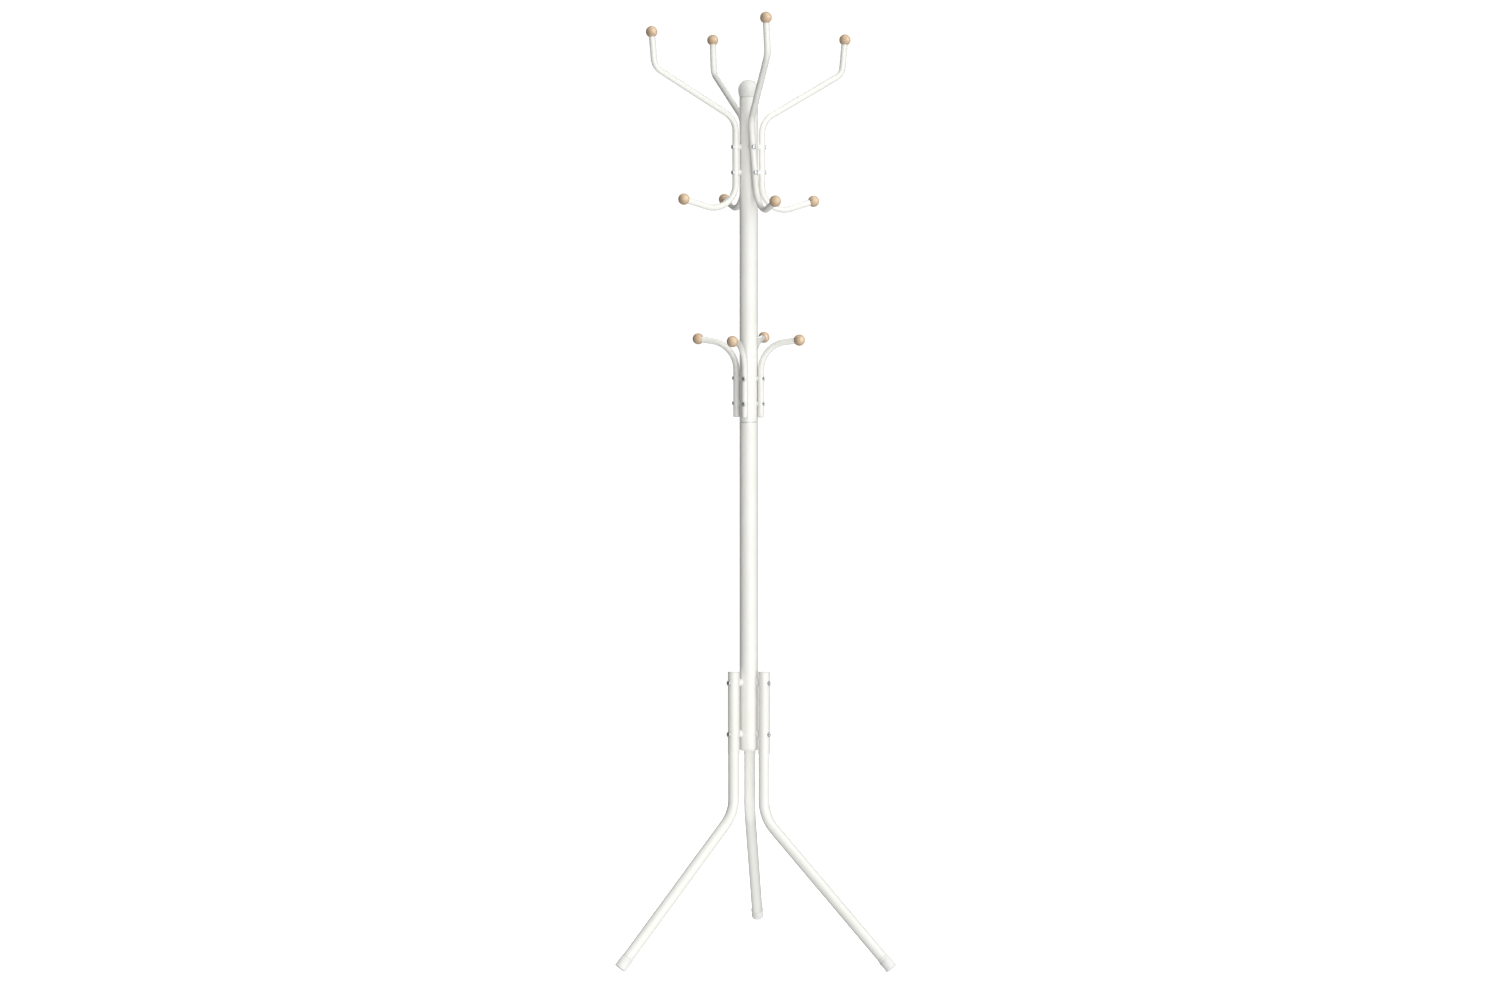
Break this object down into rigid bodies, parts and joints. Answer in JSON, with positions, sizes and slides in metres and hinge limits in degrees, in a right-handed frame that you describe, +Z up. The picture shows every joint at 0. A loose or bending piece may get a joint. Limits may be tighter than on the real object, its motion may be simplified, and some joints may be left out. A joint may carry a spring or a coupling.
{
  "type": "standing coat rack",
  "caption": "Free-standing coat rack of white bent steel tube: sectional post on splayed legs, crooked top arms and curved middle hooks, all tipped with wooden balls.",
  "frame": {"origin": "floor level, under the middle of the rack's plan box; the post's axis stands 13 mm to -X and 55 mm to -Y of it, because the back leg reaches further back than the others reach forward", "axes": "+Z up along the post, +Y away from the side the rack is seen from, +X to that viewer's right"},
  "size_m": [0.5336, 0.526, 1.7987],
  "materials": {
    "paint": "smooth satin white powder coat",
    "wood": "natural light wood, lightly sealed",
    "plastic": "moulded off-white plastic",
    "plated": "zinc plated"
  },
  "bodies": {
    "root": {"arm_bolt_back_lower": "plated", "arm_bolt_back_upper": "plated", "arm_bolt_front_lower": "plated", "arm_bolt_front_upper": "plated", "arm_bolt_left_lower": "plated", "arm_bolt_left_upper": "plated", "arm_bolt_right_lower": "plated", "arm_bolt_right_upper": "plated", "arm_lower_ball_back": "wood", "arm_lower_ball_front": "wood", "arm_lower_ball_left": "wood", "arm_lower_ball_right": "wood", "arm_upper_ball_back": "wood", "arm_upper_ball_front": "wood", "arm_upper_ball_left": "wood", "arm_upper_ball_right": "wood", "foot_back": "plastic", "foot_left": "plastic", "foot_right": "plastic", "hook_ball_back": "wood", "hook_ball_front": "wood", "hook_ball_left": "wood", "hook_ball_right": "wood", "hook_bolt_back_lower": "plated", "hook_bolt_back_upper": "plated", "hook_bolt_front_lower": "plated", "hook_bolt_front_upper": "plated", "hook_bolt_left_lower": "plated", "hook_bolt_left_upper": "plated", "hook_bolt_right_lower": "plated", "hook_bolt_right_upper": "plated", "hook_end_plug_back": "plastic", "hook_end_plug_front": "plastic", "hook_end_plug_left": "plastic", "hook_end_plug_right": "plastic", "leg_back": "paint", "leg_bolt_back_lower": "plated", "leg_bolt_back_upper": "plated", "leg_bolt_left_lower": "plated", "leg_bolt_left_upper": "plated", "leg_bolt_right_lower": "plated", "leg_bolt_right_upper": "plated", "leg_left": "paint", "leg_right": "paint", "leg_top_cap_back": "plastic", "leg_top_cap_left": "plastic", "leg_top_cap_right": "plastic", "lower_post": "paint", "middle_hook_back": "paint", "middle_hook_front": "paint", "middle_hook_left": "paint", "middle_hook_right": "paint", "post_bottom_plug": "plastic", "post_cap": "plastic", "post_joiner": "plated", "top_arm_back": "paint", "top_arm_front": "paint", "top_arm_left": "paint", "top_arm_right": "paint", "upper_post": "paint"}
  },
  "joints": []
}
